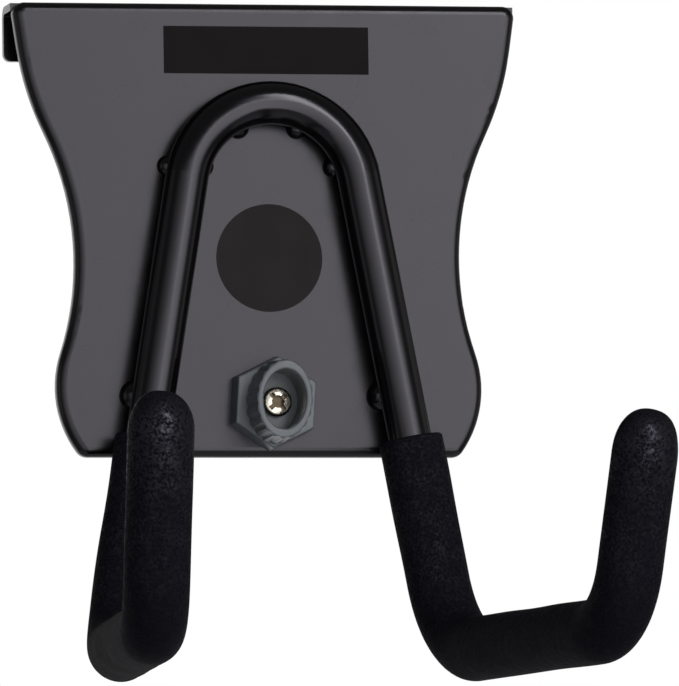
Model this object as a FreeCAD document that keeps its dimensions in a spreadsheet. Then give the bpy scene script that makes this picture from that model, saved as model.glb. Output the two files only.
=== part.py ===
import FreeCAD, Part
import math
import os
import Sketcher

# Utility hook for a garage wall rail: a pressed steel plate that hangs over the rail by its rear
# lip, a welded round rod bent into two open hooks, foam sleeves on the hooks, and a turn lock.
# Frame: +Z up, +X to the right as seen from the front, the wall towards +Y. The origin is where the
# rail's top edge bears, in the middle of the underside of the top flange, and Y = 0 is the plate's
# rear face.

SIZES = {
    # pressed plate
    "SheetThickness": 1.8,
    "PlateHeight": 105.3,
    "TopWidth": 119.5,
    "SideTaperAngle": 8.3,
    "SideLength": 10.5,
    "WaistInset": 5.6,
    "WaistRise": 29.5,
    "BulgeSwell": 4.8,
    "BulgeRise": 16.1,
    "BulgeRadius": 25.2,
    "TopCornerRadius": 2.75,
    "BottomCornerRadius": 3.0,
    "RimDepth": 3.6,
    "EdgeRadius": 2.2,
    # rear lip that hooks over the rail
    "LipSetback": 0.25,
    "LipDrop": 12.6,
    "SlotDepth": 10.4,
    "LipBendRadius": 3.0,
    "LipCornerRadius": 1.7,
    # bent rod
    "RodRadius": 5.0,
    "RodGap": 0.05,
    "ArchRadius": 20.5,
    "ArchDrop": 44.1,
    "LegSplayAngle": 9.96,
    "LegLeanAngle": 2.0,
    "HookDrop": 45.9,
    "RunReach": 113.4,
    "RunSplayAngle": 6.5,
    "RunFall": 1.7,
    "ProngLength": 45.5,
    "ProngLeanAngle": 24.2,
    "RearBendRadius": 18.6,
    "FrontBendRadius": 22.8,
    # foam sleeves
    "SleeveRadius": 7.4,
    "SleeveOverlap": 3.8,
    "SleeveFit": 0.05,
    # weld tacks beside the rod
    "UpperTackRadius": 2.6,
    "UpperTackInset": 1.1,
    "LowerTackRadius": 3.8,
    "LowerTackInset": 2.1,
    "ArchTackAngle": 65.4,
    "UpperTackDrop": 38.0,
    "LowerTackRise": 14.0,
    # turn lock
    "LockRise": 12.2,
    "LockTiltAngle": 4.1,
    "LockGap": 0.15,
    "FlangeBaseRadius": 11.0,
    "FlangeFaceRadius": 10.6,
    "FlangeThickness": 5.3,
    "CollarHeight": 10.0,
    "CollarBaseWidth": 14.2,
    "CollarBaseLength": 19.4,
    "CollarFaceWidth": 13.2,
    "CollarFaceLength": 18.3,
    "CollarSideWall": 1.6,
    "CollarEndWall": 2.25,
    "FloorThickness": 4.9,
    "FluteCount": 20,
    "FluteRadius": 1.0,
    "FluteDepth": 0.35,
    "RimRound": 0.7,
    "MouthRound": 0.5,
    "FlangeRound": 0.4,
    "BossRadius": 4.2,
    "BossClearance": 0.3,
    "DriveSide": 5.6,
    "DriveLength": 3.0,
    "DriveClearance": 0.05,
    # cam behind the plate
    "CamHubRadius": 7.5,
    "CamHubLength": 4.2,
    "CamArmThickness": 3.6,
    "CamArmReach": 14.0,
    "CamArmWidth": 10.0,
    "CamRound": 0.6,
    # lock screw
    "ScrewRadius": 2.0,
    "ScrewLength": 15.5,
    "ScrewClearance": 0.05,
    "HeadRadius": 3.4,
    "HeadHeight": 2.6,
    "HeadCrownRadius": 9.0,
    "HeadRound": 0.9,
    "CrossSpan": 4.9,
    "CrossWidth": 1.1,
    "CrossDepth": 1.5,
    "CrossPitRadius": 1.5,
    "CrossPitDepth": 2.1,
}

DOC = FreeCAD.newDocument("utility_hook")
NODES = []
TOWARDS_FRONT = FreeCAD.Rotation(FreeCAD.Vector(0, 1, -1), 180)


def make_sheet():
    """Put every driving dimension in a cell that carries its name."""
    sheet = DOC.addObject("Spreadsheet::Sheet", "Dims")
    for row, (name, value) in enumerate(SIZES.items(), start=1):
        sheet.set(f"A{row}", name)
        sheet.set(f"B{row}", str(value))
        sheet.setAlias(f"B{row}", name)
    DOC.recompute()
    return sheet


SHEET = make_sheet()


def size(name):
    return float(SHEET.get(name))


def value(text):
    """The present value of an expression over the sheet's cells."""
    return float(SHEET.evalExpression(text.replace("Dims.", "")))


def node(obj, label):
    """Name a finished sub-part and keep it for the export."""
    obj.Label = label
    NODES.append(obj)
    return obj


def front_sketch(body, name, offset):
    """A sketch in the XZ plane, moved towards the front by the given expression."""
    sketch = body.newObject("Sketcher::SketchObject", name)
    sketch.AttachmentSupport = (origin_plane(body, "XZ_Plane"), [""])
    sketch.MapMode = "FlatFace"
    sketch.setExpression("AttachmentOffset.Base.z", offset)
    return sketch


def origin_plane(body, role):
    return next(plane for plane in body.Origin.OriginFeatures if plane.Role == role)


def bind(sketch, kind, expression, *args):
    """Add a dimension to a sketch and tie it to the sheet."""
    value = args[-1]
    number = sketch.addConstraint(Sketcher.Constraint(kind, *args[:-1], value))
    sketch.setExpression(f"Constraints[{number}]", expression)


def line(start, end):
    return Part.LineSegment(FreeCAD.Vector(*start, 0), FreeCAD.Vector(*end, 0))


def arc(centre, radius, first, last):
    """The counter-clockwise arc from the first point to the last."""
    angles = [math.atan2(point[1] - centre[1], point[0] - centre[0]) for point in (first, last)]
    if angles[1] < angles[0]:
        angles[1] += 2 * math.pi
    circle = Part.Circle(FreeCAD.Vector(*centre, 0), FreeCAD.Vector(0, 0, 1), radius)
    return Part.ArcOfCircle(circle, *angles)


def edges_where(shape, test):
    return [f"Edge{number}" for number, edge in enumerate(shape.Edges, start=1) if test(edge)]


def spans(edge, axis):
    """Lowest and highest value of an edge along one axis."""
    box = edge.BoundBox
    return {"X": (box.XMin, box.XMax), "Y": (box.YMin, box.YMax), "Z": (box.ZMin, box.ZMax)}[axis]


def lies_at(edge, axis, value):
    low, high = spans(edge, axis)
    return abs(low - value) < 0.01 and abs(high - value) < 0.01


def fillet(body, base, edges, expression, name):
    feature = body.newObject("PartDesign::Fillet", name)
    feature.Base = (base, edges)
    feature.setExpression("Radius", expression)
    DOC.recompute()
    return feature


def toward(start, end, distance):
    """The point at a distance from start on the way to end."""
    length = math.dist(start, end)
    return tuple(a + (b - a) * distance / length for a, b in zip(start, end))


# Plate outline. The right half runs from the top edge down a tapered side, round a convex shoulder,
# a hollow waist and a full bulge to the bottom edge. Every stretch is tangent to the next. The waist
# is set in from the side's line, and the bulge stands out past the waist.

BOTTOM = "Dims.SheetThickness - Dims.PlateHeight"
WAIST_HEIGHT = f"{BOTTOM} + Dims.BulgeRise + Dims.WaistRise"
WAIST_REACH = ("Dims.TopWidth / 2 - Dims.WaistInset - tan(Dims.SideTaperAngle) * "
               "(Dims.PlateHeight - Dims.BulgeRise - Dims.WaistRise)")
WAIST_RADIUS = ("(Dims.WaistRise ^ 2 + Dims.BulgeSwell ^ 2 - 2 * Dims.BulgeRadius * Dims.BulgeSwell)"
                " / (2 * Dims.BulgeSwell)")


def plate_bottom():
    return size("SheetThickness") - size("PlateHeight")


def plate_outline():
    top, bottom = size("SheetThickness"), plate_bottom()
    taper = math.radians(size("SideTaperAngle"))
    down, outward = (-math.sin(taper), -math.cos(taper)), (math.cos(taper), -math.sin(taper))
    corner = (size("TopWidth") / 2, top)

    def beside_line(radius, run):
        return tuple(corner[i] - radius * outward[i] + run * down[i] for i in (0, 1))

    top_radius = size("TopCornerRadius")
    bulge_radius, swell, rise = size("BulgeRadius"), size("BulgeSwell"), size("WaistRise")
    waist_radius = (rise**2 + swell**2 - 2 * bulge_radius * swell) / (2 * swell)
    drop = size("PlateHeight") - size("BulgeRise") - rise
    reach = corner[0] - size("WaistInset") - math.tan(taper) * drop
    waist = (reach + waist_radius, top - drop)
    bulge = (reach + swell - bulge_radius, bottom + size("BulgeRise"))

    run = (top_radius - top_radius * math.sin(taper)) / math.cos(taper)
    top_centre = beside_line(top_radius, run)
    side_end = beside_line(0, size("SideLength"))
    gap = (side_end[0] - waist[0], side_end[1] - waist[1])
    clearance = gap[0] * outward[0] + gap[1] * outward[1] + waist_radius
    shoulder_radius = (gap[0]**2 + gap[1]**2 - waist_radius**2) / (2 * clearance)
    shoulder = beside_line(shoulder_radius, size("SideLength"))

    bottom_radius = size("BottomCornerRadius")
    lift = bottom + bottom_radius - bulge[1]
    bottom_centre = (bulge[0] + math.sqrt((bulge_radius - bottom_radius)**2 - lift**2),
                     bottom + bottom_radius)
    return {
        "top": top, "bottom": bottom, "corner": corner, "side_end": side_end,
        "waist_radius": waist_radius, "shoulder_radius": shoulder_radius,
        "top_centre": top_centre, "shoulder": shoulder, "waist": waist, "bulge": bulge,
        "bottom_centre": bottom_centre,
        "side_start": tuple(top_centre[i] + top_radius * outward[i] for i in (0, 1)),
        "waist_start": toward(waist, shoulder, waist_radius),
        "waist_end": toward(waist, bulge, waist_radius),
        "bulge_end": toward(bulge, bottom_centre, bulge_radius),
    }


def outline_sketch(body):
    """Half outline of the plate, with its arcs and their centres tied to the sheet."""
    sketch = front_sketch(body, "PlateOutline", "Dims.SheetThickness - Dims.RimDepth")
    p = plate_outline()
    top_end = (p["top_centre"][0], p["top"])
    bottom_start = (p["bottom_centre"][0], p["bottom"])
    top_edge = sketch.addGeometry(line((0, p["top"]), top_end))
    top_corner = sketch.addGeometry(
        arc(p["top_centre"], size("TopCornerRadius"), p["side_start"], top_end))
    side = sketch.addGeometry(line(p["side_start"], p["side_end"]))
    shoulder = sketch.addGeometry(
        arc(p["shoulder"], p["shoulder_radius"], p["waist_start"], p["side_end"]))
    waist = sketch.addGeometry(arc(p["waist"], p["waist_radius"], p["waist_start"], p["waist_end"]))
    bulge = sketch.addGeometry(arc(p["bulge"], size("BulgeRadius"), p["bulge_end"], p["waist_end"]))
    bottom_corner = sketch.addGeometry(
        arc(p["bottom_centre"], size("BottomCornerRadius"), bottom_start, p["bulge_end"]))
    bottom_edge = sketch.addGeometry(line(bottom_start, (0, p["bottom"])))
    middle = sketch.addGeometry(line((0, p["bottom"]), (0, p["top"])))
    sharp = sketch.addGeometry(Part.Point(FreeCAD.Vector(*p["corner"], 0)), True)

    start, end, centre, axis = 1, 2, 3, -2
    joints = [(top_edge, end, top_corner, end), (top_corner, start, side, start),
              (side, end, shoulder, end), (shoulder, start, waist, start),
              (waist, end, bulge, end), (bulge, start, bottom_corner, end),
              (bottom_corner, start, bottom_edge, start)]
    for joint in joints:
        sketch.addConstraint(Sketcher.Constraint("Tangent", *joint))
    sketch.addConstraint([
        Sketcher.Constraint("Coincident", bottom_edge, end, middle, start),
        Sketcher.Constraint("Coincident", middle, end, top_edge, start),
        Sketcher.Constraint("Horizontal", top_edge),
        Sketcher.Constraint("Horizontal", bottom_edge),
        Sketcher.Constraint("Vertical", middle),
        Sketcher.Constraint("PointOnObject", middle, start, axis),
        Sketcher.Constraint("PointOnObject", sharp, start, top_edge),
        Sketcher.Constraint("PointOnObject", sharp, start, side),
    ])
    for curve, name in ((top_corner, "TopCornerRadius"), (bulge, "BulgeRadius"),
                        (bottom_corner, "BottomCornerRadius")):
        bind(sketch, "Radius", f"Dims.{name}", curve, size(name))
    bind(sketch, "Radius", WAIST_RADIUS, waist, p["waist_radius"])
    bind(sketch, "DistanceY", "Dims.SheetThickness", -1, 1, middle, end, p["top"])
    bind(sketch, "DistanceY", BOTTOM, -1, 1, middle, start, p["bottom"])
    bind(sketch, "DistanceX", "Dims.TopWidth / 2", -1, 1, sharp, start, p["corner"][0])
    bind(sketch, "DistanceX", f"{WAIST_REACH} + {WAIST_RADIUS}", -1, 1, waist, centre,
         p["waist"][0])
    bind(sketch, "DistanceY", WAIST_HEIGHT, -1, 1, waist, centre, p["waist"][1])
    bind(sketch, "DistanceY", f"{BOTTOM} + Dims.BulgeRise", -1, 1, bulge, centre, p["bulge"][1])
    bind(sketch, "Distance", "Dims.SideLength", sharp, start, side, end, size("SideLength"))
    bind(sketch, "Angle", "-90 - Dims.SideTaperAngle", side,
         math.radians(-90 - size("SideTaperAngle")))
    return sketch


def make_back_plate():
    """A shallow pressed pan with a rounded rim, its top flange carried back and down as a lip."""
    body = DOC.addObject("PartDesign::Body", "BackPlate")
    outline = outline_sketch(body)
    blank = body.newObject("PartDesign::Pad", "HalfBlank")
    blank.Profile = outline
    blank.setExpression("Length", "Dims.RimDepth")
    outline.Visibility = False
    DOC.recompute()
    whole = body.newObject("PartDesign::Mirrored", "Blank")
    whole.Originals = [blank]
    whole.MirrorPlane = (outline, ["V_Axis"])
    body.Tip = whole
    DOC.recompute()

    front = -size("SheetThickness")
    back = front + size("RimDepth")
    rim = edges_where(whole.Shape, lambda edge: lies_at(edge, "Y", front))
    rounded = fillet(body, whole, rim, "Dims.EdgeRadius", "RimBend")
    rear = [f"Face{number}" for number, face in enumerate(rounded.Shape.Faces, start=1)
            if abs(face.BoundBox.YMin - back) < 0.01]
    pan = body.newObject("PartDesign::Thickness", "Pan")
    pan.Base = (rounded, rear)
    pan.Reversed = True
    pan.setExpression("Value", "Dims.SheetThickness")
    DOC.recompute()
    lip = make_lip(body)
    lower = size("SheetThickness") - size("LipDrop")
    lip_width = size("TopWidth") - 2 * size("LipSetback")
    corners = edges_where(lip.Shape, lambda edge: (
        lies_at(edge, "Z", lower) and abs(abs(edge.CenterOfMass.x) - lip_width / 2) < 0.01))
    fillet(body, lip, corners, "Dims.LipCornerRadius", "LipCorners")
    make_lock_hole(body)
    return node(body, "back_plate")


def make_lip(body):
    """Section of the top flange and lip in the YZ plane, padded across the plate."""
    sketch = body.newObject("Sketcher::SketchObject", "LipSection")
    sketch.AttachmentSupport = (origin_plane(body, "YZ_Plane"), [""])
    sketch.MapMode = "FlatFace"
    thick, radius = size("SheetThickness"), size("LipBendRadius")
    rim = size("RimDepth") - thick
    inner, outer = size("SlotDepth"), size("SlotDepth") + thick
    lower = thick - size("LipDrop")
    bend = (outer - radius, thick - radius)
    top = sketch.addGeometry(line((rim, thick), (bend[0], thick)))
    outside = sketch.addGeometry(arc(bend, radius, (outer, bend[1]), (bend[0], thick)))
    rear = sketch.addGeometry(line((outer, bend[1]), (outer, lower)))
    foot = sketch.addGeometry(line((outer, lower), (inner, lower)))
    front = sketch.addGeometry(line((inner, lower), (inner, bend[1])))
    inside = sketch.addGeometry(arc(bend, radius - thick, (inner, bend[1]), (bend[0], 0)))
    under = sketch.addGeometry(line((bend[0], 0), (rim, 0)))
    start_face = sketch.addGeometry(line((rim, 0), (rim, thick)))
    start, end, centre = 1, 2, 3
    for joint in ((top, end, outside, end), (outside, start, rear, start),
                  (front, end, inside, start), (inside, end, under, start)):
        sketch.addConstraint(Sketcher.Constraint("Tangent", *joint))
    sketch.addConstraint([
        Sketcher.Constraint("Coincident", rear, end, foot, start),
        Sketcher.Constraint("Coincident", foot, end, front, start),
        Sketcher.Constraint("Coincident", under, end, start_face, start),
        Sketcher.Constraint("Coincident", start_face, end, top, start),
        Sketcher.Constraint("Coincident", inside, centre, outside, centre),
        Sketcher.Constraint("Vertical", start_face),
        Sketcher.Constraint("Horizontal", under),
        Sketcher.Constraint("Horizontal", foot),
        Sketcher.Constraint("Vertical", front),
        Sketcher.Constraint("Vertical", rear),
    ])
    bind(sketch, "Radius", "Dims.LipBendRadius", outside, radius)
    bind(sketch, "DistanceX", "Dims.RimDepth - Dims.SheetThickness", -1, 1, start_face, start, rim)
    bind(sketch, "DistanceY", "Dims.SheetThickness", -1, 1, start_face, end, thick)
    bind(sketch, "DistanceX", "Dims.SlotDepth", -1, 1, front, start, inner)
    bind(sketch, "DistanceX", "Dims.SlotDepth + Dims.SheetThickness", -1, 1, rear, end, outer)
    bind(sketch, "DistanceY", "Dims.SheetThickness - Dims.LipDrop", -1, 1, foot, start, lower)
    lip = body.newObject("PartDesign::Pad", "Lip")
    lip.Profile = sketch
    lip.Midplane = True
    lip.setExpression("Length", "Dims.TopWidth - 2 * Dims.LipSetback")
    sketch.Visibility = False
    DOC.recompute()
    return lip


def make_lock_hole(body):
    sketch = front_sketch(body, "LockHoleCircle", "Dims.SheetThickness")
    round_at_lock(sketch, "Dims.BossRadius + Dims.BossClearance",
                  size("BossRadius") + size("BossClearance"))
    hole = body.newObject("PartDesign::Pocket", "LockHole")
    hole.Profile = sketch
    hole.Type = "ThroughAll"
    hole.Midplane = True
    sketch.Visibility = False
    DOC.recompute()


LOCK_HEIGHT = f"{BOTTOM} + Dims.LockRise"


def lock_height():
    return plate_bottom() + size("LockRise")


def pin_to_lock(sketch, geometry, point):
    """Hold a point of a sketch on the lock's axis."""
    sketch.addConstraint(Sketcher.Constraint("PointOnObject", geometry, point, -2))
    bind(sketch, "DistanceY", LOCK_HEIGHT, -1, 1, geometry, point, lock_height())


def round_at_lock(sketch, expression, radius):
    centre = FreeCAD.Vector(0, lock_height(), 0)
    circle = sketch.addGeometry(Part.Circle(centre, FreeCAD.Vector(0, 0, 1), radius))
    pin_to_lock(sketch, circle, 3)
    bind(sketch, "Radius", expression, circle, radius)


def polygon_at_lock(sketch, sides, expression, radius, turn, turn_expression):
    """A regular polygon round the lock's axis, on a construction circle."""
    middle = (0, lock_height())
    angles = [math.radians(turn + 360 * i / sides) for i in range(sides)]
    corners = [(radius * math.cos(a), middle[1] + radius * math.sin(a)) for a in angles]
    lines = [sketch.addGeometry(line(corners[i], corners[(i + 1) % sides])) for i in range(sides)]
    centre = FreeCAD.Vector(*middle, 0)
    ring = sketch.addGeometry(Part.Circle(centre, FreeCAD.Vector(0, 0, 1), radius), True)
    spoke = sketch.addGeometry(line(middle, corners[0]), True)
    pin_to_lock(sketch, ring, 3)
    bind(sketch, "Radius", expression, ring, radius)
    for i in range(sides):
        after = lines[(i + 1) % sides]
        sketch.addConstraint(Sketcher.Constraint("Coincident", lines[i], 2, after, 1))
        sketch.addConstraint(Sketcher.Constraint("PointOnObject", lines[i], 1, ring))
    for side in lines[1:]:
        sketch.addConstraint(Sketcher.Constraint("Equal", lines[0], side))
    sketch.addConstraint(Sketcher.Constraint("Coincident", spoke, 1, ring, 3))
    sketch.addConstraint(Sketcher.Constraint("Coincident", spoke, 2, lines[0], 1))
    bind(sketch, "Angle", turn_expression, spoke, math.radians(turn))


def oval_at_lock(sketch, width_text, length_text):
    """An upright oval round the lock's axis, tilted with the knob."""
    length, width, tilt = value(length_text), value(width_text), size("LockTiltAngle")
    centre = FreeCAD.Vector(0, lock_height(), 0)
    turn = math.radians(90 - tilt)
    far = centre + FreeCAD.Vector(math.cos(turn), math.sin(turn), 0) * (length / 2)
    side = centre + FreeCAD.Vector(-math.sin(turn), math.cos(turn), 0) * (width / 2)
    oval = sketch.addGeometry(Part.Ellipse(far, side, centre))
    sketch.exposeInternalGeometry(oval)
    long_axis, short_axis = oval + 1, oval + 2
    pin_to_lock(sketch, oval, 3)
    bind(sketch, "Distance", length_text, long_axis, length)
    bind(sketch, "Distance", width_text, short_axis, width)
    heading = sketch.Geometry[long_axis]
    step = heading.EndPoint - heading.StartPoint
    angle = math.degrees(math.atan2(step.y, step.x))
    whole = "90" if angle > 0 else "-90"
    bind(sketch, "Angle", f"{whole} - Dims.LockTiltAngle", long_axis, math.radians(angle))


def loft(body, name, first, second):
    feature = body.newObject("PartDesign::AdditiveLoft", name)
    feature.Profile = first
    feature.Sections = [second]
    first.Visibility = second.Visibility = False
    DOC.recompute()
    return feature


def pad(body, name, sketch, length, reverse=False):
    feature = body.newObject("PartDesign::Pad", name)
    feature.Profile = sketch
    feature.Reversed = reverse
    feature.setExpression("Length", length)
    sketch.Visibility = False
    DOC.recompute()
    return feature


def pocket(body, name, sketch, length):
    """Cut a sketch towards the back, to a depth or right through."""
    feature = body.newObject("PartDesign::Pocket", name)
    feature.Profile = sketch
    if length is None:
        feature.Type = "ThroughAll"
    else:
        feature.setExpression("Length", length)
    sketch.Visibility = False
    DOC.recompute()
    return feature


RECESS = ("Dims.CollarFaceWidth - 2 * Dims.CollarSideWall",
          "Dims.CollarFaceLength - 2 * Dims.CollarEndWall")


def make_lock_knob():
    """Moulded knob: drafted hexagon flange, hollow fluted collar, and a boss through the plate."""
    body = DOC.addObject("PartDesign::Body", "LockKnob")
    base = "Dims.SheetThickness + Dims.LockGap"
    face = f"{base} + Dims.FlangeThickness"
    rim = f"{face} + Dims.CollarHeight"
    turn, turn_text = 90 - size("LockTiltAngle"), "90 - Dims.LockTiltAngle"
    hexagons = []
    for name, place in (("FlangeBase", base), ("FlangeFace", face)):
        sketch = front_sketch(body, name, place)
        polygon_at_lock(sketch, 6, f"Dims.{name}Radius", size(f"{name}Radius"), turn, turn_text)
        hexagons.append(sketch)
    flange = loft(body, "Flange", *hexagons)
    face_at = -(size("SheetThickness") + size("LockGap") + size("FlangeThickness"))
    edges = edges_where(flange.Shape, lambda edge: lies_at(edge, "Y", face_at))
    fillet(body, flange, edges, "Dims.FlangeRound", "FlangeEdge")
    ovals = []
    for name, place in (("CollarBase", face), ("CollarFace", rim)):
        sketch = front_sketch(body, name, place)
        oval_at_lock(sketch, f"Dims.{name}Width", f"Dims.{name}Length")
        ovals.append(sketch)
    loft(body, "Collar", *ovals)

    boss = front_sketch(body, "BossCircle", base)
    round_at_lock(boss, "Dims.BossRadius", size("BossRadius"))
    pad(body, "Boss", boss, "Dims.SheetThickness + 2 * Dims.LockGap", reverse=True)
    drive = front_sketch(body, "DriveSquare", "-Dims.LockGap")
    polygon_at_lock(drive, 4, "Dims.DriveSide / sqrt(2)", size("DriveSide") / math.sqrt(2),
                    45, "45")
    pad(body, "Drive", drive, "Dims.DriveLength", reverse=True)

    mouth = front_sketch(body, "RecessOval", rim)
    oval_at_lock(mouth, *RECESS)
    depth = "Dims.FlangeThickness + Dims.CollarHeight - Dims.FloorThickness"
    recess = pocket(body, "Recess", mouth, depth)
    bore = front_sketch(body, "ScrewBore", rim)
    radius = size("ScrewRadius") + size("ScrewClearance")
    round_at_lock(bore, "Dims.ScrewRadius + Dims.ScrewClearance", radius)
    bored = pocket(body, "ScrewWay", bore, None)
    rim_at = face_at - size("CollarHeight")
    outer_length = oval_length("Dims.CollarFaceWidth", "Dims.CollarFaceLength")
    mid_length = (outer_length + oval_length(*RECESS)) / 2
    outer = edges_where(bored.Shape, lambda edge: (
        lies_at(edge, "Y", rim_at) and edge.Length > mid_length))
    rounded = fillet(body, bored, outer, "Dims.RimRound", "CollarEdge")
    inner = edges_where(rounded.Shape, lambda edge: (
        lies_at(edge, "Y", rim_at) and edge.Length < mid_length))
    fillet(body, rounded, inner, "Dims.MouthRound", "MouthEdge")
    knob = DOC.addObject("Part::Cut", "FlutedKnob")
    knob.Base, knob.Tool = body, make_flutes(face_at)
    DOC.recompute()
    return node(knob, "lock_knob")


def make_flutes(face_at):
    """Tapered cutters round the collar, each following its draft to an even groove depth."""
    count = round(size("FluteCount"))
    half_width, half_length = size("CollarBaseWidth") / 2, size("CollarBaseLength") / 2
    tilt = FreeCAD.Rotation(FreeCAD.Vector(0, 1, 0), size("LockTiltAngle"))
    axis = FreeCAD.Vector(0, face_at, lock_height())
    cutters = []
    for i in range(count):
        angle = 2 * math.pi * (i + 0.5) / count
        edge = FreeCAD.Vector(half_width * math.cos(angle), 0, half_length * math.sin(angle))
        away = FreeCAD.Vector(edge.x / half_width**2, 0, edge.z / half_length**2).normalize()
        middle = edge + away * (size("FluteRadius") - size("FluteDepth"))
        cutter = DOC.addObject("Part::Cone", f"Flute{i + 1}")
        cutter.setExpression("Radius1", "Dims.FluteRadius")
        cutter.setExpression(
            "Radius2", "Dims.FluteRadius + (Dims.CollarBaseWidth - Dims.CollarFaceWidth) / 2")
        cutter.setExpression("Height", "Dims.CollarHeight + Dims.RimRound")
        cutter.Placement = FreeCAD.Placement(axis + tilt.multVec(middle), TOWARDS_FRONT)
        cutters.append(cutter)
    group = DOC.addObject("Part::MultiFuse", "Flutes")
    group.Shapes = cutters
    return group


def oval_length(width_text, length_text):
    """Length of an oval's edge, by Ramanujan's formula."""
    a, b = value(length_text) / 2, value(width_text) / 2
    return math.pi * (3 * (a + b) - math.sqrt((3 * a + b) * (a + 3 * b)))


def make_lock_cam():
    """Cam behind the plate: a hub on the knob's square drive and an arm that catches the rail."""
    body = DOC.addObject("PartDesign::Body", "LockCam")
    hub_face = "-Dims.LockGap"
    hub = front_sketch(body, "HubCircle", hub_face)
    round_at_lock(hub, "Dims.CamHubRadius", size("CamHubRadius"))
    pad(body, "Hub", hub, "Dims.CamHubLength", reverse=True)
    arm = front_sketch(body, "ArmOutline", "-Dims.LockGap - Dims.CamHubLength")
    arm_outline(arm)
    blank = pad(body, "Arm", arm, "Dims.CamArmThickness", reverse=True)
    rear = size("LockGap") + size("CamHubLength") + size("CamArmThickness")
    edges = edges_where(blank.Shape, lambda edge: lies_at(edge, "Y", rear))
    fillet(body, blank, edges, "Dims.CamRound", "ArmEdge")
    socket = front_sketch(body, "SocketSquare", hub_face)
    side = size("DriveSide") + 2 * size("DriveClearance")
    polygon_at_lock(socket, 4, "(Dims.DriveSide + 2 * Dims.DriveClearance) / sqrt(2)",
                    side / math.sqrt(2), 45, "45")
    pocket(body, "Socket", socket, "Dims.DriveLength + Dims.DriveClearance")
    bore = front_sketch(body, "PilotCircle", hub_face)
    radius = size("ScrewRadius") + size("ScrewClearance")
    round_at_lock(bore, "Dims.ScrewRadius + Dims.ScrewClearance", radius)
    pocket(body, "Pilot", bore, None)
    return node(body, "lock_cam")


def arm_outline(sketch):
    """A stadium from below the hub's middle to the arm's rounded end."""
    middle, half = lock_height(), size("CamArmWidth") / 2
    upper = middle + size("CamArmReach") - half
    left = sketch.addGeometry(line((-half, upper), (-half, middle)))
    low = sketch.addGeometry(arc((0, middle), half, (-half, middle), (half, middle)))
    right = sketch.addGeometry(line((half, middle), (half, upper)))
    high = sketch.addGeometry(arc((0, upper), half, (half, upper), (-half, upper)))
    for joint in ((left, 2, low, 1), (low, 2, right, 1), (right, 2, high, 1), (high, 2, left, 1)):
        sketch.addConstraint(Sketcher.Constraint("Tangent", *joint))
    pin_to_lock(sketch, low, 3)
    sketch.addConstraint(Sketcher.Constraint("Vertical", left))
    bind(sketch, "Radius", "Dims.CamArmWidth / 2", low, half)
    bind(sketch, "DistanceY", "Dims.CamArmReach - Dims.CamArmWidth / 2", low, 3, high, 3,
         upper - middle)


def make_lock_screw():
    """Pan-head screw with a cross recess, seated on the floor of the knob's recess."""
    body = DOC.addObject("PartDesign::Body", "LockScrew")
    sketch = body.newObject("Sketcher::SketchObject", "ScrewProfile")
    sketch.AttachmentSupport = (origin_plane(body, "XY_Plane"), [""])
    sketch.MapMode = "FlatFace"
    sketch.setExpression("AttachmentOffset.Base.z", LOCK_HEIGHT)
    seat_text = "-(Dims.SheetThickness + Dims.LockGap + Dims.FloorThickness)"
    seat = -(size("SheetThickness") + size("LockGap") + size("FloorThickness"))
    head, shank, bend = size("HeadRadius"), size("ScrewRadius"), size("HeadRound")
    crown, tip, dome = seat - size("HeadHeight"), seat + size("ScrewLength"), size("HeadCrownRadius")
    dome_centre = (0, crown + dome)
    bend_centre = (head - bend,
                   dome_centre[1] - math.sqrt((dome - bend)**2 - (head - bend)**2))
    meeting = toward(dome_centre, bend_centre, dome)
    profile = [line((0, crown), (0, tip)), line((0, tip), (shank, tip)),
               line((shank, tip), (shank, seat)), line((shank, seat), (head, seat)),
               line((head, seat), (head, bend_centre[1])),
               arc(bend_centre, bend, meeting, (head, bend_centre[1])),
               arc(dome_centre, dome, (0, crown), meeting)]
    middle, end, side, under, edge, corner, cap = [sketch.addGeometry(item) for item in profile]
    for joint in ((middle, 2, end, 1), (end, 2, side, 1), (side, 2, under, 1),
                  (under, 2, edge, 1), (cap, 1, middle, 1)):
        sketch.addConstraint(Sketcher.Constraint("Coincident", *joint))
    for joint in ((edge, 2, corner, 2), (corner, 1, cap, 2)):
        sketch.addConstraint(Sketcher.Constraint("Tangent", *joint))
    for upright in (middle, side, edge):
        sketch.addConstraint(Sketcher.Constraint("Vertical", upright))
    for level in (end, under):
        sketch.addConstraint(Sketcher.Constraint("Horizontal", level))
    sketch.addConstraint(Sketcher.Constraint("PointOnObject", middle, 1, -2))
    sketch.addConstraint(Sketcher.Constraint("PointOnObject", cap, 3, -2))
    bind(sketch, "DistanceX", "Dims.HeadRadius", -1, 1, edge, 1, head)
    bind(sketch, "DistanceX", "Dims.ScrewRadius", -1, 1, side, 1, shank)
    bind(sketch, "DistanceY", seat_text, -1, 1, side, 2, seat)
    bind(sketch, "DistanceY", f"{seat_text} - Dims.HeadHeight", -1, 1, middle, 1, crown)
    bind(sketch, "Radius", "Dims.HeadCrownRadius", cap, dome)
    bind(sketch, "Radius", "Dims.HeadRound", corner, bend)
    bind(sketch, "DistanceY", f"{seat_text} + Dims.ScrewLength", -1, 1, middle, 2, tip)
    turned = body.newObject("PartDesign::Revolution", "Turned")
    turned.Profile = sketch
    turned.ReferenceAxis = (sketch, ["V_Axis"])
    turned.Angle = 360
    sketch.Visibility = False
    DOC.recompute()
    face = f"-({seat_text} - Dims.HeadHeight)"
    for name, first in (("Rising", 45), ("Falling", 135)):
        slot = front_sketch(body, f"{name}SlotOutline", face)
        slot_at_lock(slot, first)
        pocket(body, f"{name}Slot", slot, "Dims.CrossDepth")
    pit = front_sketch(body, "PitCircle", face)
    round_at_lock(pit, "Dims.CrossPitRadius", size("CrossPitRadius"))
    pocket(body, "Pit", pit, "Dims.CrossPitDepth")
    return node(body, "lock_screw")


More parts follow.
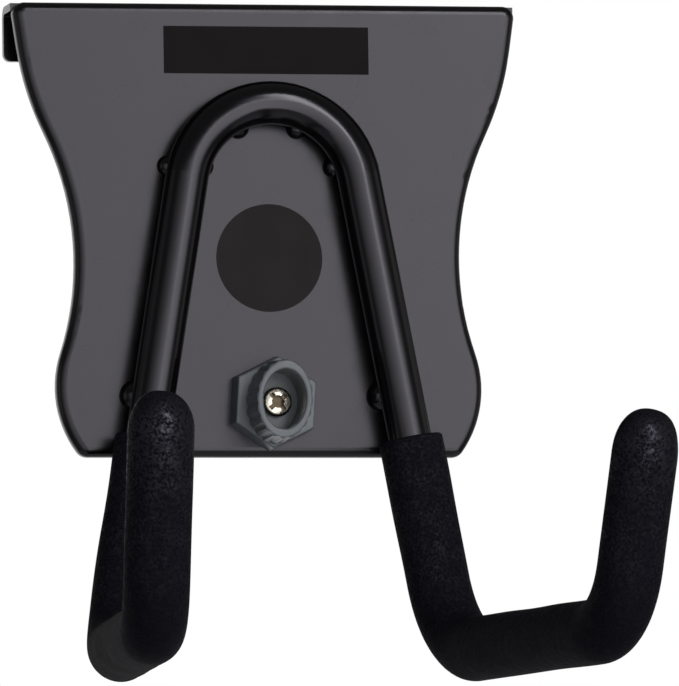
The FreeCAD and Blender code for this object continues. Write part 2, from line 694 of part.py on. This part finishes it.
def slot_at_lock(sketch, heading):
    """A rectangle across the screw's head, turned by a heading and tilted with the knob."""
    middle = (0, lock_height())
    span, half = size("CrossSpan") / 2, size("CrossWidth") / 2
    turn = math.radians(heading - size("LockTiltAngle"))
    corners = [(middle[0] + x * math.cos(turn) - y * math.sin(turn),
                middle[1] + x * math.sin(turn) + y * math.cos(turn))
               for x, y in ((-span, -half), (span, -half), (span, half), (-span, half))]
    sides = [sketch.addGeometry(line(corners[i], corners[(i + 1) % 4])) for i in range(4)]
    centre = sketch.addGeometry(Part.Point(FreeCAD.Vector(*middle, 0)), True)
    for i in range(4):
        sketch.addConstraint(Sketcher.Constraint("Coincident", sides[i], 2, sides[(i + 1) % 4], 1))
    for i in range(3):
        sketch.addConstraint(Sketcher.Constraint("Perpendicular", sides[i], sides[i + 1]))
    pin_to_lock(sketch, centre, 1)
    sketch.addConstraint(Sketcher.Constraint("Symmetric", sides[0], 1, sides[2], 1, centre, 1))
    bind(sketch, "Distance", "Dims.CrossSpan", sides[0], 2 * span)
    bind(sketch, "Distance", "Dims.CrossWidth", sides[1], 2 * half)
    bind(sketch, "Angle", f"{heading} - Dims.LockTiltAngle", sides[0], turn)


# Rod route. The two legs hang from the arch in one plane that leans away from the plate, each run
# goes forward and slightly outward, and each prong rises in its run's upright plane.

def rod_plane(height):
    """Y of the rod's centreline on the leaning plane of the arch and legs."""
    arch_top = size("SheetThickness") - size("ArchDrop") + size("ArchRadius")
    touch = -(size("SheetThickness") + size("RodRadius") + size("RodGap"))
    return touch - (arch_top - height) * math.tan(math.radians(size("LegLeanAngle")))


def leg_point(height, side, offset=0.0):
    """A point at a height on a leg's centreline, moved square to it away from the middle."""
    splay = math.radians(size("LegSplayAngle"))
    arch_centre = size("SheetThickness") - size("ArchDrop")
    reach = size("ArchRadius") / math.cos(splay) + (arch_centre - height) * math.tan(splay)
    across = reach + offset / math.cos(splay)
    return FreeCAD.Vector(side * across, rod_plane(height), height)


def hook_points(side):
    """Corner points of one hook: leg foot, run end and prong tip."""
    foot = leg_point(plate_bottom() - size("HookDrop"), side)
    splay = math.radians(size("RunSplayAngle"))
    ahead = FreeCAD.Vector(side * math.sin(splay), -math.cos(splay), 0)
    run_end = foot + ahead * (size("RunReach") / math.cos(splay))
    run_end.z -= size("RunFall")
    lean = math.radians(size("ProngLeanAngle"))
    rise = FreeCAD.Vector(0, 0, 1) * math.cos(lean) + ahead * math.sin(lean)
    return foot, run_end, run_end + rise * size("ProngLength")


def apex_point():
    """Where the two legs' centrelines would meet above the arch."""
    splay = math.radians(size("LegSplayAngle"))
    height = size("SheetThickness") - size("ArchDrop") + size("ArchRadius") / math.sin(splay)
    return FreeCAD.Vector(0, rod_plane(height), height)


def rounded_path(points, radii):
    """A wire of straight runs joined by tangent arcs."""
    edges, last = [], points[0]
    for before, corner, after, radius in zip(points, points[1:], points[2:], radii):
        back, ahead = (before - corner).normalize(), (after - corner).normalize()
        half = back.getAngle(ahead) / 2
        trim = radius / math.tan(half)
        middle = (back + ahead).normalize()
        start, end = corner + back * trim, corner + ahead * trim
        on_arc = corner + middle * (radius / math.sin(half) - radius)
        edges.append(Part.LineSegment(last, start).toShape())
        edges.append(Part.Arc(start, on_arc, end).toShape())
        last = end
    edges.append(Part.LineSegment(last, points[-1]).toShape())
    return Part.Wire(edges)


def sweep(name, path, radius_text):
    """A round bar along a path, its radius tied to the sheet."""
    route = DOC.addObject("Part::Feature", f"{name}Path")
    route.Shape = path
    section = DOC.addObject("Part::Circle", f"{name}Section")
    section.setExpression("Radius", radius_text)
    first = path.OrderedEdges[0]
    heading = first.tangentAt(first.FirstParameter)
    turn = FreeCAD.Rotation(FreeCAD.Vector(0, 0, 1), heading)
    section.Placement = FreeCAD.Placement(path.OrderedVertexes[0].Point, turn)
    bar = DOC.addObject("Part::Sweep", name)
    bar.Sections = [section]
    bar.Spine = (route, [f"Edge{number}" for number in range(1, len(path.Edges) + 1)])
    bar.Solid = True
    bar.Frenet = False
    route.Visibility = section.Visibility = False
    DOC.recompute()
    return bar


def make_hook_rod():
    """One round rod: tip, run and leg up over the arch and down the other side."""
    left, right = hook_points(-1), hook_points(1)
    points = [*reversed(left), apex_point(), *right]
    front, rear = size("FrontBendRadius"), size("RearBendRadius")
    path = rounded_path(points, [front, rear, size("ArchRadius"), rear, front])
    return node(sweep("HookRod", path, "Dims.RodRadius"), "hook_rod")


def make_grip(name, label, side):
    """Foam sleeve over one hook, open on the leg and closed by a dome over the rod's tip."""
    start = leg_point(plate_bottom() + size("SleeveOverlap"), side)
    foot, run_end, tip = hook_points(side)
    path = rounded_path([start, foot, run_end, tip],
                        [size("RearBendRadius"), size("FrontBendRadius")])
    outer = sweep(f"{name}Outside", path, "Dims.SleeveRadius")
    bore = sweep(f"{name}Bore", path, "Dims.RodRadius + Dims.SleeveFit")
    dome = DOC.addObject("Part::Sphere", f"{name}Dome")
    dome.setExpression("Radius", "Dims.SleeveRadius")
    dome.Placement.Base = tip
    whole = DOC.addObject("Part::Fuse", f"{name}Whole")
    whole.Base, whole.Tool = outer, dome
    sleeve = DOC.addObject("Part::Cut", name)
    sleeve.Base, sleeve.Tool = whole, bore
    DOC.recompute()
    return node(sleeve, label)


def make_weld_tacks(rod):
    """Small rounded welds on the plate along both edges of the rod, trimmed to the rod."""
    beside = {kind: size("RodRadius") - size(f"{kind}TackInset") for kind in ("Upper", "Lower")}
    centre = size("SheetThickness") - size("ArchDrop")
    angle = math.radians(size("ArchTackAngle"))
    inner = size("ArchRadius") - beside["Upper"]
    heights = {"Upper": size("SheetThickness") - size("UpperTackDrop"),
               "Lower": plate_bottom() + size("LowerTackRise")}
    spots = []
    for side in (-1, 1):
        spots.append((side * inner * math.cos(angle), centre + inner * math.sin(angle), "Upper"))
        for kind, height in heights.items():
            for offset in (-beside[kind], beside[kind]):
                spots.append((*tack_spot(height, side, offset), kind))
    domes = []
    for number, (across, height, kind) in enumerate(spots, start=1):
        dome = DOC.addObject("Part::Sphere", f"Tack{number}")
        dome.setExpression("Radius", f"Dims.{kind}TackRadius")
        dome.Angle1 = 0
        place = FreeCAD.Vector(across, -size("SheetThickness"), height)
        dome.Placement = FreeCAD.Placement(place, TOWARDS_FRONT)
        domes.append(dome)
    group = DOC.addObject("Part::MultiFuse", "TackGroup")
    group.Shapes = domes
    tacks = DOC.addObject("Part::Cut", "WeldTacks")
    tacks.Base, tacks.Tool = group, rod
    DOC.recompute()
    return node(tacks, "weld_tacks")


def tack_spot(height, side, offset):
    """X and Z beside the rod at a height, on the arch above its centre and on the leg below."""
    radius = size("ArchRadius") + offset
    centre = size("SheetThickness") - size("ArchDrop")
    if height > centre:
        return side * math.sqrt(radius**2 - (height - centre)**2), height
    point = leg_point(height, side, offset)
    return point.x, point.z


def check_model():
    """Stop before anything is written if a feature failed or a sub-part is unsound."""
    for obj in DOC.Objects:
        if "Invalid" in obj.State or "Error" in obj.State:
            raise RuntimeError(f"{obj.Name} failed: {obj.State}")
    for obj in NODES:
        if obj.Shape.isNull() or not obj.Shape.isValid():
            raise RuntimeError(f"{obj.Label} has no valid shape")


def export_parts():
    os.makedirs("parts", exist_ok=True)
    for obj in NODES:
        obj.Shape.exportStep(f"parts/{obj.Label}.step")
        box = obj.Shape.BoundBox
        print(obj.Label, len(obj.Shape.Solids), "solids", round(obj.Shape.Volume), "mm3",
              [round(value, 2) for value in (box.XMin, box.XMax, box.YMin, box.YMax,
                                             box.ZMin, box.ZMax)])


make_back_plate()
hook_rod = make_hook_rod()
make_weld_tacks(hook_rod)
make_grip("LeftGrip", "left_grip", -1)
make_grip("RightGrip", "right_grip", 1)
make_lock_knob()
make_lock_cam()
make_lock_screw()
DOC.recompute()
check_model()
export_parts()
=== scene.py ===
import math
import random

import bmesh
import bpy
from mathutils import Matrix, Vector


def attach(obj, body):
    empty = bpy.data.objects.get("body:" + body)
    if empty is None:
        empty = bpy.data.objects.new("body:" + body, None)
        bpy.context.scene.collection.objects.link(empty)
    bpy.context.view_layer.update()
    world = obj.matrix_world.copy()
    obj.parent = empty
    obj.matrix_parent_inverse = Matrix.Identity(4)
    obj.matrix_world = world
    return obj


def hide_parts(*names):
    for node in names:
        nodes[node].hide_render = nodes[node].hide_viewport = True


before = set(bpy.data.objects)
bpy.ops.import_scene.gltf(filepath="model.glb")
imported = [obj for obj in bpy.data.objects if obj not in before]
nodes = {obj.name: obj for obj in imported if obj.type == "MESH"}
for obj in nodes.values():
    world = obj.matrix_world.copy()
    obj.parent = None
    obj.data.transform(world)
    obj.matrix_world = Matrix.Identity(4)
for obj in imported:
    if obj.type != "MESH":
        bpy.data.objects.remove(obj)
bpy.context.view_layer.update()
scene = bpy.context.scene

# Utility hook for a garage wall rail. Metres; +Z up as hung, +Y towards the wall, and +X to the right
# as seen from the front. Y = 0 is the plate's rear face.

PLATE_TOP, PLATE_FRONT = 0.0018, -0.0018


# camera

YAW, PITCH, ROLL = math.radians(12.239), math.radians(4.948), math.radians(0.9026)
CAMERA_PLACE = (-0.5619, -2.6672, -0.3132)
PHOTO_WIDTH, FOCAL_PIXELS, SENSOR = 679, 11835.5, 36.0


def make_camera():
    forward = Vector((math.sin(YAW) * math.cos(PITCH), math.cos(YAW) * math.cos(PITCH),
                      math.sin(PITCH)))
    level = Vector((math.cos(YAW), -math.sin(YAW), 0))
    upright = level.cross(forward)
    right = level * math.cos(ROLL) - upright * math.sin(ROLL)
    up = upright * math.cos(ROLL) + level * math.sin(ROLL)
    data = bpy.data.cameras.new("camera")
    data.sensor_fit = "HORIZONTAL"
    data.sensor_width = SENSOR
    data.lens = SENSOR * FOCAL_PIXELS / PHOTO_WIDTH
    camera = bpy.data.objects.new("camera", data)
    turn = Matrix((right, up, -forward)).transposed().to_4x4()
    camera.matrix_world = Matrix.Translation(CAMERA_PLACE) @ turn
    scene.collection.objects.link(camera)
    scene.camera = camera


# node trees

class Nodes:
    """Short calls for building the node tree of a material, a lamp or the world."""

    def __init__(self, tree):
        self.tree = tree

    def add(self, kind, **values):
        made = self.tree.nodes.new(kind)
        for key, value in values.items():
            setattr(made, key, value)
        return made

    def link(self, source, target):
        self.tree.links.new(source, target)

    def put(self, value, socket):
        """Set a socket to a number, or link another node's output to it."""
        if isinstance(value, (int, float)):
            socket.default_value = value
        else:
            self.link(value, socket)

    def parts(self, vector):
        """The X, Y and Z of a vector."""
        made = self.add("ShaderNodeSeparateXYZ")
        self.link(vector, made.inputs["Vector"])
        return made.outputs

    def math(self, operation, *values):
        made = self.add("ShaderNodeMath", operation=operation)
        for value, socket in zip(values, made.inputs):
            self.put(value, socket)
        return made.outputs["Value"]

    def span(self, source, low, high, to_low=0.0, to_high=1.0, kind="LINEAR"):
        """Map the range from low to high onto the one from to_low to to_high."""
        made = self.add("ShaderNodeMapRange", interpolation_type=kind)
        for name, value in (("Value", source), ("From Min", low), ("From Max", high),
                            ("To Min", to_low), ("To Max", to_high)):
            self.put(value, made.inputs[name])
        return made.outputs["Result"]

    def fade(self, source, none_at, full_at, to_low=0.0):
        """Rise smoothly from to_low to 1 between two values."""
        return self.span(source, none_at, full_at, to_low, kind="SMOOTHSTEP")

    def seen(self):
        """1 for what the camera sees, straight or in metal and glass, and 0 for diffuse light."""
        path = self.add("ShaderNodeLightPath").outputs
        straight = self.math("MAXIMUM", path["Is Camera Ray"], path["Is Glossy Ray"])
        return self.math("MAXIMUM", straight, path["Is Transmission Ray"])


class Surface(Nodes):
    """A material's node tree around its main shader, patterned in the object's own space."""

    def __init__(self, name):
        self.material = bpy.data.materials.new(name)
        self.material.use_nodes = True
        super().__init__(self.material.node_tree)
        self.shader = self.tree.nodes["Principled BSDF"]
        self.place = self.add("ShaderNodeTexCoord").outputs["Object"]

    def noise(self, scale, detail=2.0, roughness=0.5, distortion=0.0):
        made = self.add("ShaderNodeTexNoise")
        self.link(self.place, made.inputs["Vector"])
        for name, value in (("Scale", scale), ("Detail", detail), ("Roughness", roughness),
                            ("Distortion", distortion)):
            made.inputs[name].default_value = value
        return made.outputs["Fac"]

    def cells(self, scale):
        made = self.add("ShaderNodeTexVoronoi")
        self.link(self.place, made.inputs["Vector"])
        made.inputs["Scale"].default_value = scale
        return made.outputs["Distance"]

    def mix(self, share, first, second):
        made = self.add("ShaderNodeMix", data_type="RGBA")
        self.link(share, made.inputs["Factor"])
        for socket, value in ((made.inputs[6], first), (made.inputs[7], second)):
            if isinstance(value, tuple):
                socket.default_value = (*value, 1.0)
            else:
                self.link(value, socket)
        return made.outputs[2]

    def cloudy(self, source, first, second):
        """Blend two colours over the middle of a noise."""
        return self.mix(self.span(source, 0.3, 0.7), first, second)

    def bump(self, height, depth, before=None):
        made = self.add("ShaderNodeBump")
        made.inputs["Strength"].default_value = 1.0
        made.inputs["Distance"].default_value = depth
        self.link(height, made.inputs["Height"])
        if before is not None:
            self.link(before, made.inputs["Normal"])
        return made.outputs["Normal"]

    def finish(self, colour, roughness, normal, **values):
        self.link(colour, self.shader.inputs["Base Color"])
        self.link(roughness, self.shader.inputs["Roughness"])
        self.link(normal, self.shader.inputs["Normal"])
        for key, value in values.items():
            self.shader.inputs[key.replace("_", " ")].default_value = value
        return self.material


# materials

def paint(name, colours, rough, specular, peel=0.000003, tint=(1.0, 1.0, 1.0)):
    """Baked gloss paint: a faint orange peel, soft cloudiness and a few specks."""
    n = Surface(name)
    specks = n.span(n.cells(420), 0.02, 0.07, 1.0, 0.0)
    speck_colour = tuple(4 * v for v in colours[1])
    colour = n.mix(n.math("MULTIPLY", specks, 0.25), n.cloudy(n.noise(55, 3), *colours), speck_colour)
    roughness = n.span(n.noise(160, 2), 0.3, 0.7, rough - 0.03, rough + 0.03)
    return n.finish(colour, roughness, n.bump(n.noise(700, 2), peel), Specular_IOR_Level=specular,
                    Specular_Tint=(*tint, 1.0))


TIP_HEIGHT = (-0.124, -0.108)
TIP_DEPTH = (-0.105, -0.125)
RUN_HEIGHT = (-0.149, -0.132)


def foam():
    """Closed-cell foam skin, matte black.

    Its pores glint, most of all on the rubbed tips and least along the run.
    """
    n = Surface("foam")
    grain = n.noise(1500, 2, 0.6, 0.4)
    patches = n.noise(260, 3, 0.6)
    place = n.parts(n.place)
    tips = n.math("MULTIPLY", n.span(place["Z"], *TIP_HEIGHT), n.span(place["Y"], *TIP_DEPTH))
    glint = n.math("MULTIPLY", n.span(grain, 0.4, 0.8), n.span(patches, 0.3, 0.65, 0.15, 0.6))
    glint = n.math("MULTIPLY", glint, n.span(tips, 0.0, 1.0, 1.0, 3.5))
    glint = n.math("MULTIPLY", glint, n.span(place["Z"], *RUN_HEIGHT, 0.3, 1.0))
    colour = n.cloudy(grain, (0.0050, 0.0047, 0.0073), (0.0060, 0.0057, 0.0088))
    colour = n.mix(glint, colour, (0.036, 0.034, 0.042))
    n.link(glint, n.shader.inputs["Metallic"])
    roughness = n.span(glint, 0.0, 0.5, 0.85, 0.36)
    normal = n.bump(grain, 0.00009, n.bump(patches, 0.00025))
    return n.finish(colour, roughness, normal, Specular_IOR_Level=0.04,
                    Specular_Tint=(0.2, 0.2, 0.24, 1.0))


def moulded(name, dark, light, rough, specular):
    """Moulded plastic with a fine spark-eroded grain."""
    n = Surface(name)
    roughness = n.span(n.noise(300, 2), 0.3, 0.7, rough - 0.05, rough + 0.05)
    return n.finish(n.cloudy(n.noise(140, 3), dark, light), roughness,
                    n.bump(n.noise(3200, 2), 0.00002), Specular_IOR_Level=specular)


# Depths over which the screw's colour turns to a painted shade, dark brown, in its recesses.
CROSS_SHADE_DEPTH = (-0.0090, -0.0087)


def nickel():
    """Bright plated steel, with a painted shade, dark brown, on whatever lies deeper, down in the
    driver's cross.
    """
    n = Surface("nickel")
    bright = n.cloudy(n.noise(900, 3), (0.62, 0.56, 0.47), (0.8, 0.75, 0.66))
    # Painted shade: the colour turns dark brown with depth, down in the driver's cross and on the head's
    # deeper rim.
    colour = n.mix(n.span(n.parts(n.place)["Y"], *CROSS_SHADE_DEPTH), bright, (0.045, 0.036, 0.025))
    roughness = n.span(n.noise(1500, 2), 0.3, 0.7, 0.2, 0.34)
    return n.finish(colour, roughness, n.bump(n.noise(1200, 2), 0.00003), Metallic=1.0)


BLACK_PAINT = (0.0009, 0.0009, 0.0011), (0.0014, 0.0014, 0.0017)
ROUND_FILM = (0.0085, 0.0072, 0.0078), (0.0105, 0.009, 0.0097)
LONG_FILM = (0.0045, 0.0035, 0.0036), (0.006, 0.005, 0.0051)
FILM_PEEL = 0.000002

MATERIALS = {
    "plate": paint("plate_paint", BLACK_PAINT, 0.25, 0.36, tint=(0.95, 0.91, 1.0)),
    "rod": paint("rod_paint", BLACK_PAINT, 0.18, 0.36, tint=(0.94, 0.9, 1.0)),
    "foam": foam(),
    "knob": moulded("slate_plastic", (0.08, 0.091, 0.103), (0.1, 0.112, 0.126), 0.33, 0.34),
    "cam": moulded("black_plastic", (0.012, 0.012, 0.013), (0.02, 0.02, 0.022), 0.5, 0.4),
    "screw": nickel(),
    "film": paint("label_film", ROUND_FILM, 0.5, 0.08, FILM_PEEL),
    "dark_film": paint("dark_film", LONG_FILM, 0.5, 0.045, FILM_PEEL),
}


def dress(name, material):
    slots = nodes[name].material_slots
    if not slots:
        nodes[name].data.materials.append(material)
    for slot in slots:
        slot.material = material


# pieces

def add_piece(name, mesh, material):
    """Link a piece of the hook body and give it its material."""
    piece = bpy.data.objects.new(name, mesh)
    mesh.materials.append(material)
    scene.collection.objects.link(piece)
    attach(piece, "hook")
    return piece


def finished(mesh, name):
    """A mesh data block with its faces turned outwards."""
    bmesh.ops.recalc_face_normals(mesh, faces=mesh.faces)
    data = bpy.data.meshes.new(name)
    mesh.to_mesh(data)
    mesh.free()
    return data


# The rod's centreline: an arch that touches the plate, two legs that lean away from it, and on each side
# a foot, a run and a prong.
ARCH_HEIGHT, ARCH_RADIUS = PLATE_TOP - 0.0441, 0.0205
ARCH_DEPTH = -0.00685
LEG_SPLAY, LEG_LEAN = math.radians(9.96), math.radians(2.0)
SLEEVE_TOP, FOOT_HEIGHT = -0.0997, -0.1494
RUN_REACH, RUN_FALL, RUN_SPLAY = 0.1134, 0.0017, math.radians(6.5)
PRONG_LENGTH, PRONG_LEAN = 0.0455, math.radians(24.2)
REAR_BEND, FRONT_BEND = 0.0186, 0.0228


def leg_point(height, side):
    """A point at a height on a leg's centreline."""
    reach = ARCH_RADIUS / math.cos(LEG_SPLAY)
    across = reach + (ARCH_HEIGHT - height) * math.tan(LEG_SPLAY)
    depth = ARCH_DEPTH - (ARCH_HEIGHT + ARCH_RADIUS - height) * math.tan(LEG_LEAN)
    return Vector((side * across, depth, height))


def sleeve_corners(side, further):
    """Sleeve's top, leg foot, run end and prong tip on one side."""
    start, foot = leg_point(SLEEVE_TOP, side), leg_point(FOOT_HEIGHT, side)
    ahead = Vector((side * math.sin(RUN_SPLAY), -math.cos(RUN_SPLAY), 0))
    run_end = foot + ahead * (RUN_REACH / math.cos(RUN_SPLAY)) - Vector((0, 0, RUN_FALL))
    rise = Vector((0, 0, math.cos(PRONG_LEAN))) + ahead * math.sin(PRONG_LEAN)
    return [start, foot, run_end, run_end + rise * (PRONG_LENGTH + further)]


def bent_line(corners, radii, step):
    """Points along straight runs joined by tangent arcs, about a step apart."""
    points, last = [], corners[0]
    for before, corner, after, radius in zip(corners, corners[1:], corners[2:], radii):
        back, ahead = (before - corner).normalized(), (after - corner).normalized()
        half = back.angle(ahead) / 2
        trim = radius / math.tan(half)
        start, end = corner + back * trim, corner + ahead * trim
        count = max(1, round((start - last).length / step))
        points += [last.lerp(start, i / count) for i in range(count)]
        centre = corner + (back + ahead).normalized() * (radius / math.sin(half))
        turn = (start - centre).angle(end - centre)
        axis = (start - centre).cross(end - centre).normalized()
        count = max(2, round(radius * turn / step))
        points += [centre + Matrix.Rotation(turn * i / count, 3, axis) @ (start - centre)
                   for i in range(count)]
        last = end
    count = max(1, round((corners[-1] - last).length / step))
    return points + [last.lerp(corners[-1], i / count) for i in range(count + 1)]


def frames_along(points):
    """A pair of directions square to the line at each point, carried along without twist."""
    frames = []
    side = None
    for i, point in enumerate(points):
        ahead = (points[min(i + 1, len(points) - 1)] - points[max(i - 1, 0)]).normalized()
        if side is None:
            side = ahead.cross(Vector((1, 0, 0))).normalized()
        side = (side - ahead * side.dot(ahead)).normalized()
        frames.append((point, ahead, side, ahead.cross(side)))
    return frames


# foam sleeves

SLEEVE_RADIUS, BORE_RADIUS = 0.00735, 0.00508
SOCKET, LIP = 0.004, 0.0007
AFTER_LIP = 1.6 * LIP
STEP, AROUND, LIP_RINGS, TIP_RINGS = 0.0011, 56, 6, 20
LUMPS, WAVES = 0.00035, 10


def sleeve_mesh(side, seed, further, reach, blunt):
    """A hollow foam tube along the hook, rounded at its open end and closed over the rod's tip."""
    rng = random.Random(seed)
    line = bent_line(sleeve_corners(side, further), (REAR_BEND, FRONT_BEND), STEP)
    frames = frames_along(line)
    waves = [(rng.uniform(0, 6.28), rng.uniform(0, 6.28), rng.uniform(60, 240), rng.randint(0, 3))
             for _ in range(WAVES)]
    rings = []

    def lump(along, angle):
        return sum(math.sin(p + along * f) * math.cos(q + angle * k) for p, q, f, k in waves) / WAVES

    def add_ring(point, across, up, radius, along=0.0, rough=0.0):
        ring = []
        for j in range(AROUND):
            angle = 2 * math.pi * j / AROUND
            r = radius + rough * LUMPS * lump(along, angle)
            ring.append(point + (across * math.cos(angle) + up * math.sin(angle)) * r)
        rings.append(ring)

    start, ahead, across, up = frames[0]
    add_ring(start + ahead * SOCKET, across, up, BORE_RADIUS)
    add_ring(start + ahead * LIP, across, up, BORE_RADIUS)
    middle, half = (BORE_RADIUS + SLEEVE_RADIUS) / 2, (SLEEVE_RADIUS - BORE_RADIUS) / 2
    for k in range(1, LIP_RINGS + 1):
        turn = math.pi * k / LIP_RINGS
        add_ring(start + ahead * (LIP - LIP * math.sin(turn)), across, up,
                 middle - half * math.cos(turn), rough=k / LIP_RINGS)
    along = 0.0
    for (before, *_), (point, ahead, across, up) in zip(frames, frames[1:]):
        along += (point - before).length
        if along > AFTER_LIP:
            add_ring(point, across, up, SLEEVE_RADIUS, along, 1)
    tip, ahead, across, up = frames[-1]
    for k in range(1, TIP_RINGS):
        turn = math.pi / 2 * k / TIP_RINGS
        rise = reach * math.sin(turn)
        add_ring(tip + ahead * rise, across, up, SLEEVE_RADIUS * math.cos(turn) ** blunt,
                 along + rise, 1 + 3 * math.sin(2 * turn))

    mesh = bmesh.new()
    made = [[mesh.verts.new(point) for point in ring] for ring in rings]
    for low, high in zip(made, made[1:]):
        for j in range(AROUND):
            k = (j + 1) % AROUND
            mesh.faces.new((low[j], low[k], high[k], high[j]))
    pole = mesh.verts.new(tip + ahead * reach)
    for j in range(AROUND):
        mesh.faces.new((made[-1][j], made[-1][(j + 1) % AROUND], pole))
    for face in mesh.faces:
        face.smooth = True
    return finished(mesh, "sleeve")


def make_sleeves():
    for name, node_name, side, seed, further, reach, blunt in (
            ("foam_left", "left_grip", -1, 3, 0.0004, 0.0092, 0.9),
            ("foam_right", "right_grip", 1, 8, -0.0054, 0.0109, 0.77)):
        mesh = sleeve_mesh(side, seed, further, reach, blunt)
        piece = add_piece(name, mesh, MATERIALS["foam"])
        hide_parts(node_name)


# bare label fields

FILM_THICKNESS = 0.00012
FIELD_HALF_WIDTH, FIELD_LOW, FIELD_HIGH = 0.0242, -0.0146, -0.0036
ROUND_RADIUS, ROUND_HEIGHT, ROUND_SIDES = 0.0125, -0.0574, 96


def film(name, outline, material):
    """A thin flat film on the plate's face."""
    mesh = bmesh.new()
    face = mesh.faces.new([mesh.verts.new((x, PLATE_FRONT, z)) for x, z in outline])
    front = bmesh.ops.extrude_face_region(mesh, geom=[face])
    for item in front["geom"]:
        if isinstance(item, bmesh.types.BMVert):
            item.co.y -= FILM_THICKNESS
    return add_piece(name, finished(mesh, name), MATERIALS[material])


def make_labels():
    film("label_field", [(-FIELD_HALF_WIDTH, FIELD_LOW), (FIELD_HALF_WIDTH, FIELD_LOW),
                         (FIELD_HALF_WIDTH, FIELD_HIGH), (-FIELD_HALF_WIDTH, FIELD_HIGH)], "dark_film")
    angles = [2 * math.pi * i / ROUND_SIDES for i in range(ROUND_SIDES)]
    film("round_field", [(ROUND_RADIUS * math.cos(angle), ROUND_HEIGHT + ROUND_RADIUS * math.sin(angle))
                         for angle in angles], "film")


# floor, world and lights

FLOOR_HEIGHT, FLOOR_HALF_WIDTH, FLOOR_GLOW = -1.6, 2, 0.15
MIDDLE = Vector((0, -0.02, -0.07))

# What the world shows, by the parts of the direction looked in: white walls in front and behind between
# a dim ceiling and a dim ground, and pale walls at both sides. Diffuse light gets only the dim level.
DIM, PALE = 0.14, 0.4
WHITE_WALLS, PALE_WALLS = (0.3, 0.94), (0.9, 0.975)
BELOW_CEILING, ABOVE_GROUND = (0.36, 0.26), (-0.62, -0.5)


def make_stage():
    mesh = bmesh.new()
    bmesh.ops.create_grid(mesh, x_segments=1, y_segments=1, size=FLOOR_HALF_WIDTH)
    data = bpy.data.meshes.new("floor")
    mesh.to_mesh(data)
    mesh.free()
    piece = bpy.data.objects.new("floor", data)
    piece.location.z = FLOOR_HEIGHT
    scene.collection.objects.link(piece)
    n = Surface("floor")
    colour = n.cloudy(n.noise(3, 2), (0.78, 0.78, 0.78), (0.81, 0.81, 0.81))
    n.link(n.math("MULTIPLY", n.seen(), FLOOR_GLOW), n.shader.inputs["Emission Strength"])
    data.materials.append(n.finish(colour, n.span(n.noise(5, 1), 0, 1, 0.85, 0.95),
                                   n.bump(n.noise(40, 1), 0.0001), Specular_IOR_Level=0.1))


def make_world():
    world = bpy.data.worlds.new("world")
    world.use_nodes = True
    n = Nodes(world.node_tree)
    n.tree.nodes.clear()
    heading = n.parts(n.add("ShaderNodeTexCoord").outputs["Generated"])
    walls = n.fade(n.math("ABSOLUTE", heading["Y"]), *WHITE_WALLS)
    band = n.math("MULTIPLY", n.fade(heading["Z"], *BELOW_CEILING), n.fade(heading["Z"], *ABOVE_GROUND))
    sides = n.math("MULTIPLY", n.fade(n.math("ABSOLUTE", heading["X"]), *PALE_WALLS), PALE)
    shown = n.fade(n.math("MAXIMUM", n.math("MULTIPLY", walls, band), sides), 0.0, 1.0, DIM)
    back = n.add("ShaderNodeBackground")
    back.inputs["Color"].default_value = (1, 1, 1, 1)
    n.link(n.span(n.seen(), 0.0, 1.0, DIM, shown), back.inputs["Strength"])
    n.link(back.outputs["Background"], n.add("ShaderNodeOutputWorld").inputs["Surface"])
    scene.world = world


def area_light(name, width, height, radiance):
    """A rectangular lamp of an even radiance, which the camera doesn't see."""
    data = bpy.data.lights.new(name, "AREA")
    data.shape = "RECTANGLE"
    data.size, data.size_y = width, height
    data.energy = radiance * math.pi * width * height
    lamp = bpy.data.objects.new(name, data)
    lamp.visible_camera = False
    scene.collection.objects.link(lamp)
    return lamp


def strip_light(azimuth, elevation, width, height, radiance, distance):
    """A soft strip that faces the object.

    All four are angles: azimuth from the front towards the right, elevation upwards, and the strip's
    width and height as seen from the object.
    """
    heading = Vector((math.sin(azimuth) * math.cos(elevation), -math.cos(azimuth) * math.cos(elevation),
                      math.sin(elevation)))
    lamp = area_light("strip", 2 * distance * math.tan(width / 2), 2 * distance * math.tan(height / 2),
                      radiance)
    lamp.location = MIDDLE + heading * distance
    lamp.rotation_mode = "QUATERNION"
    lamp.rotation_quaternion = heading.to_track_quat("Z", "Y")


def front_light(left, right, low, high, distance, radiance):
    """The main soft box in front, which brightens from its left end and fades at its right end."""
    full_at, curve, fades_at = 0.51, 1.9, 0.62
    lamp = area_light("front", right - left, high - low, radiance)
    lamp.location = ((left + right) / 2, MIDDLE.y - distance, (low + high) / 2)
    lamp.rotation_euler = (math.pi / 2, 0, 0)
    lamp.data.use_nodes = True
    n = Nodes(lamp.data.node_tree)
    along = n.parts(n.add("ShaderNodeNewGeometry").outputs["Parametric"])["X"]
    rise = n.math("POWER", n.span(along, 0.0, full_at), curve)
    fall = n.span(along, fades_at, 1.0, 1.0, 0.0, "SMOOTHSTEP")
    emission = next(node for node in n.tree.nodes if node.type == "EMISSION")
    n.link(n.math("MULTIPLY", rise, fall), emission.inputs["Strength"])


make_camera()
for node_name, key in (("back_plate", "plate"), ("hook_rod", "rod"), ("weld_tacks", "rod"),
                       ("lock_knob", "knob"), ("lock_cam", "cam"), ("lock_screw", "screw")):
    dress(node_name, MATERIALS[key])
make_sleeves()
make_labels()
make_stage()
make_world()
front_light(-1.15, 1.7, -0.88, 0.26, 1.15, 2.6)
strip_light(math.radians(18.4), math.radians(27), math.radians(10.5), math.radians(29), 10.4, 3.0)
scene.view_settings.view_transform = "Standard"
